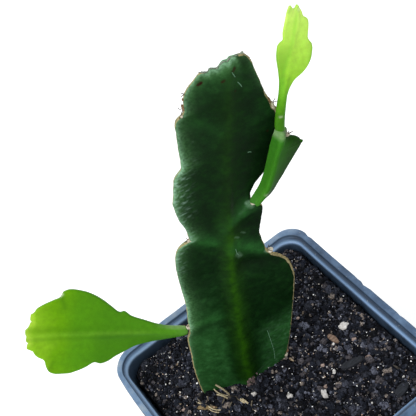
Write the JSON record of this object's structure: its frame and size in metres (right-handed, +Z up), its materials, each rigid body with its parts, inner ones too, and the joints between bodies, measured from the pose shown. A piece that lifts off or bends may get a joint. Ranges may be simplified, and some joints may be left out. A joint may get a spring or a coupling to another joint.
{
  "type": "potted orchid cactus",
  "caption": "Young orchid cactus with a tall flat notched stem and young side shoots, rooted in dark soil in a square plastic nursery pot.",
  "frame": {"origin": "centre of the pot's flat underside", "axes": "+Z up along the pot and plant, +X and +Y square to the pot's sides; the flat stem's front faces roughly -Y"},
  "size_m": [0.1066, 0.09, 0.2322],
  "materials": {
    "pot_plastic": "black polypropylene with a soft bluish sheen and dust on the rim",
    "potting_soil": "moist dark peat with bark crumbs and pale grains",
    "dark_green_skin": "waxy dark green skin with corky margins and a few scars",
    "bright_green_skin": "smooth bright green young skin",
    "mid_green_skin": "smooth mid-green young skin with a dark edge",
    "lime_skin": "thin lime-green new growth",
    "perlite": "rough off-white volcanic glass foam",
    "wood_chip": "dry split wood",
    "dark_bark": "damp dark bark",
    "tan_bark": "dry tan bark",
    "straw": "dry straw"
  },
  "bodies": {
    "root": {"square_pot": "pot_plastic", "potting_soil": "potting_soil", "main_stem": "dark_green_skin", "left_shoot": "bright_green_skin", "winged_shoot": "mid_green_skin", "lime_shoot": "lime_skin", "perlite_lump": "perlite", "wood_chip": "wood_chip", "bark_chip_right": "dark_bark", "bark_chip_front": "dark_bark", "bark_strip": "tan_bark", "straw_leaning": "straw", "straw_low": "straw", "straw_flat": "straw"}
  },
  "joints": []
}
